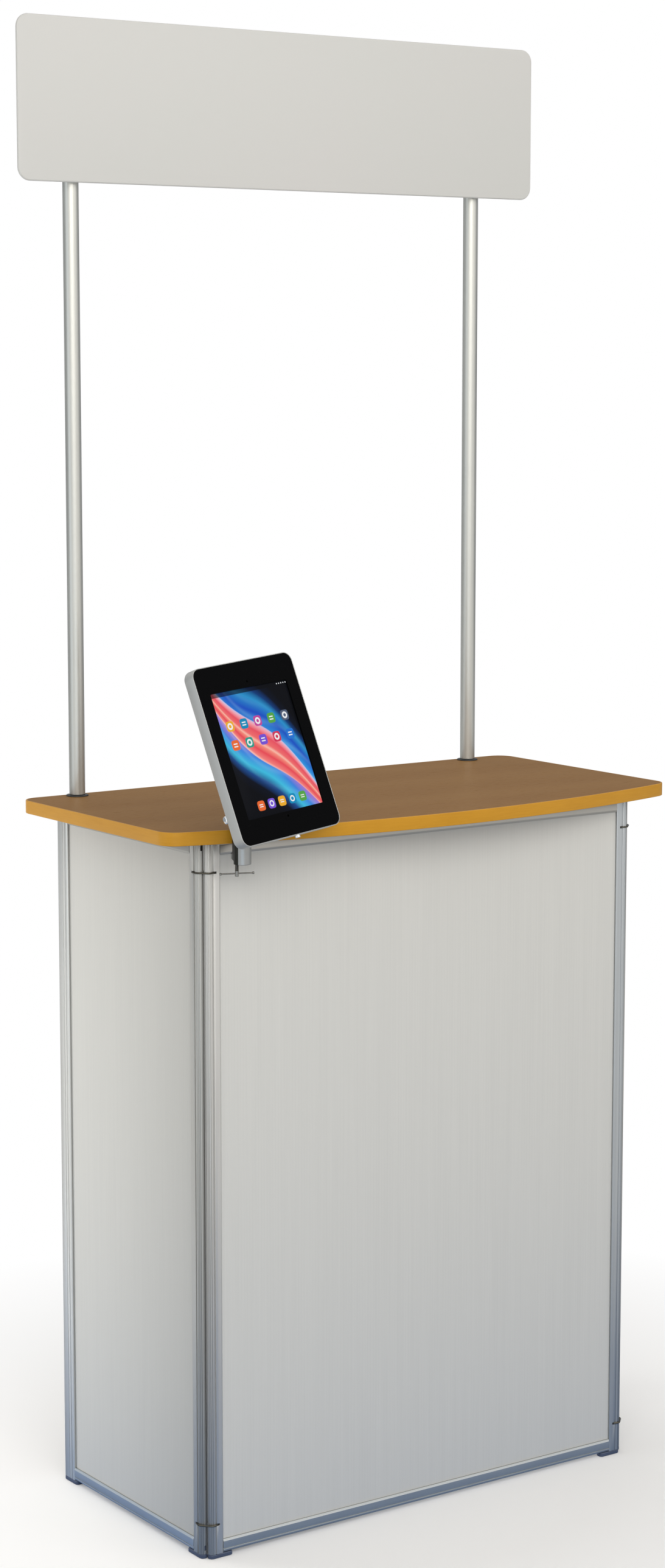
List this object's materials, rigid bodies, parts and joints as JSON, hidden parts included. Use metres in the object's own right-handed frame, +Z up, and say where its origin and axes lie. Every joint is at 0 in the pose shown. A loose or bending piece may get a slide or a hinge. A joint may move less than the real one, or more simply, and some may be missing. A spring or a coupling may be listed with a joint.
{
  "type": "folding exhibition counter",
  "caption": "Folding exhibition counter with aluminium framed panels, bow-fronted worktop, header board on poles and a clamped tablet holder.",
  "frame": {"origin": "on the floor, at the centre of the outer box", "axes": "+Z up, the public side faces -Y, +X to the right of someone facing the counter"},
  "size_m": [0.869, 0.5116, 2.044],
  "materials": {
    "frame_aluminium": "satin anodised",
    "infill_board": "matt off-white, fine upright lines",
    "black_plastic": "satin black",
    "dark_wire": "dark spring steel",
    "laminate": "satin brown laminate",
    "amber_band": "satin amber edging",
    "steel": "bright zinc",
    "chrome": "polished",
    "header_white": "satin white",
    "satin_silver": "satin silver",
    "gloss_black": "gloss black",
    "screen_glass": "gloss"
  },
  "bodies": {
    "front_panel": {"front_panel_left_stile": "frame_aluminium", "front_panel_right_stile": "frame_aluminium", "front_panel_top_rail": "frame_aluminium", "front_panel_bottom_rail": "frame_aluminium", "front_panel_infill": "infill_board", "front_panel_left_foot": "black_plastic", "front_panel_right_foot": "black_plastic"},
    "left_clips": {"left_top_wire_clip": "dark_wire", "left_bottom_wire_clip": "dark_wire"},
    "left_panel": {"left_panel_front_stile": "frame_aluminium", "left_panel_rear_stile": "frame_aluminium", "left_panel_top_rail": "frame_aluminium", "left_panel_bottom_rail": "frame_aluminium", "left_panel_infill": "infill_board", "left_panel_front_foot": "black_plastic", "left_panel_rear_foot": "black_plastic"},
    "right_clips": {"right_top_wire_clip": "dark_wire", "right_bottom_wire_clip": "dark_wire"},
    "right_panel": {"right_panel_front_stile": "frame_aluminium", "right_panel_rear_stile": "frame_aluminium", "right_panel_top_rail": "frame_aluminium", "right_panel_bottom_rail": "frame_aluminium", "right_panel_infill": "infill_board", "right_panel_front_foot": "black_plastic", "right_panel_rear_foot": "black_plastic"},
    "worktop": {"worktop_board": "laminate", "worktop_edge_band": "amber_band", "left_locating_peg": "steel", "right_locating_peg": "steel", "left_pole_socket": "black_plastic", "right_pole_socket": "black_plastic", "left_socket_screw": "steel", "right_socket_screw": "steel", "clamp_body": "satin_silver"},
    "canopy": {"left_pole": "frame_aluminium", "right_pole": "frame_aluminium", "left_pole_cap": "black_plastic", "right_pole_cap": "black_plastic"},
    "header": {"header_board": "header_white", "left_lower_pole_clip": "black_plastic", "left_upper_pole_clip": "black_plastic", "right_lower_pole_clip": "black_plastic", "right_upper_pole_clip": "black_plastic"},
    "pad": {"clamp_pad": "black_plastic"},
    "screw": {"clamp_screw": "steel"},
    "bar": {"tommy_bar": "steel"},
    "swivel": {"swivel_head": "satin_silver"},
    "knob": {"tilt_knob": "chrome"},
    "arm": {"tilt_arm": "satin_silver"},
    "case": {"turntable": "satin_silver", "turntable_screw": "steel", "case_tray": "satin_silver", "tablet_body": "satin_silver", "tablet_glass": "screen_glass"},
    "cover": {"case_cover": "gloss_black"},
    "lock": {"lock_barrel": "chrome"}
  },
  "joints": [
    {"name": "left_clip_swing", "type": "hinge", "parent": "front_panel", "child": "left_clips", "pos_m": [-0.3505, -0.11505, 0.006], "axis": [0, 0, 1], "range_deg": [-44, 45]},
    {"name": "left_panel_fold", "type": "hinge", "parent": "left_clips", "child": "left_panel", "pos_m": [-0.35927, -0.10628, 0.006], "axis": [0, 0, 1], "range_deg": [-44, 45]},
    {"name": "right_clip_swing", "type": "hinge", "parent": "front_panel", "child": "right_clips", "pos_m": [0.3505, -0.11505, 0.006], "axis": [0, 0, 1], "range_deg": [-45, 42]},
    {"name": "right_panel_fold", "type": "hinge", "parent": "right_clips", "child": "right_panel", "pos_m": [0.35927, -0.10628, 0.006], "axis": [0, 0, 1], "range_deg": [-45, 42]},
    {"name": "worktop_lift", "type": "slide", "parent": "front_panel", "child": "worktop", "axis": [0, 0, 1], "range_m": [0, 0.05]},
    {"name": "pole_lift", "type": "slide", "parent": "worktop", "child": "canopy", "axis": [0, 0, 1], "range_m": [0, 0.05]},
    {"name": "header_slide", "type": "slide", "parent": "canopy", "child": "header", "axis": [0, 0, 1], "range_m": [-0.8, 0]},
    {"name": "clamp_travel", "type": "slide", "parent": "worktop", "child": "pad", "axis": [0, 0, 1], "range_m": [-0.0088, 0]},
    {"name": "clamp_turn", "type": "hinge", "parent": "pad", "child": "screw", "pos_m": [-0.32655, -0.14635, 0.9713], "axis": [0, 0, 1], "range_deg": [-3960, 0]},
    {"name": "tommy_bar_slide", "type": "slide", "parent": "screw", "child": "bar", "axis": [0.9405, -0.3397, 0], "range_m": [-0.018, 0.018]},
    {"name": "holder_swivel", "type": "hinge", "parent": "worktop", "child": "swivel", "pos_m": [-0.33123, -0.16683, 0.9713], "axis": [0, 0, 1], "range_deg": [-60, 12]},
    {"name": "tilt_knob_turn", "type": "hinge", "parent": "swivel", "child": "knob", "pos_m": [-0.33123, -0.16683, 1.0064], "axis": [0.9811, 0.1932, 0], "range_deg": [-360, 0]},
    {"name": "holder_tilt", "type": "hinge", "parent": "swivel", "child": "arm", "pos_m": [-0.33123, -0.16683, 1.0064], "axis": [0.9811, 0.1932, 0], "range_deg": [-50, 14]},
    {"name": "case_turn", "type": "hinge", "parent": "arm", "child": "case", "pos_m": [-0.32667, -0.13978, 1.07688], "axis": [0.1816, -0.922, 0.342], "range_deg": [-90, 90]},
    {"name": "cover_hinge", "type": "hinge", "parent": "case", "child": "cover", "pos_m": [-0.33023, -0.16346, 1.20791], "axis": [-0.9741, -0.2162, -0.0656], "range_deg": [0, 75]},
    {"name": "lock_turn", "type": "hinge", "parent": "case", "child": "lock", "pos_m": [-0.28485, -0.22611, 0.98423], "axis": [-0.1344, 0.3213, 0.9374], "range_deg": [0, 90]}
  ],
  "couplings": [
    {"joint": "left_panel_fold", "follows": "left_clip_swing", "ratio": 1},
    {"joint": "right_panel_fold", "follows": "right_clip_swing", "ratio": 1},
    {"joint": "clamp_travel", "follows": "clamp_turn", "m_per_rad": 0.00012732}
  ]
}
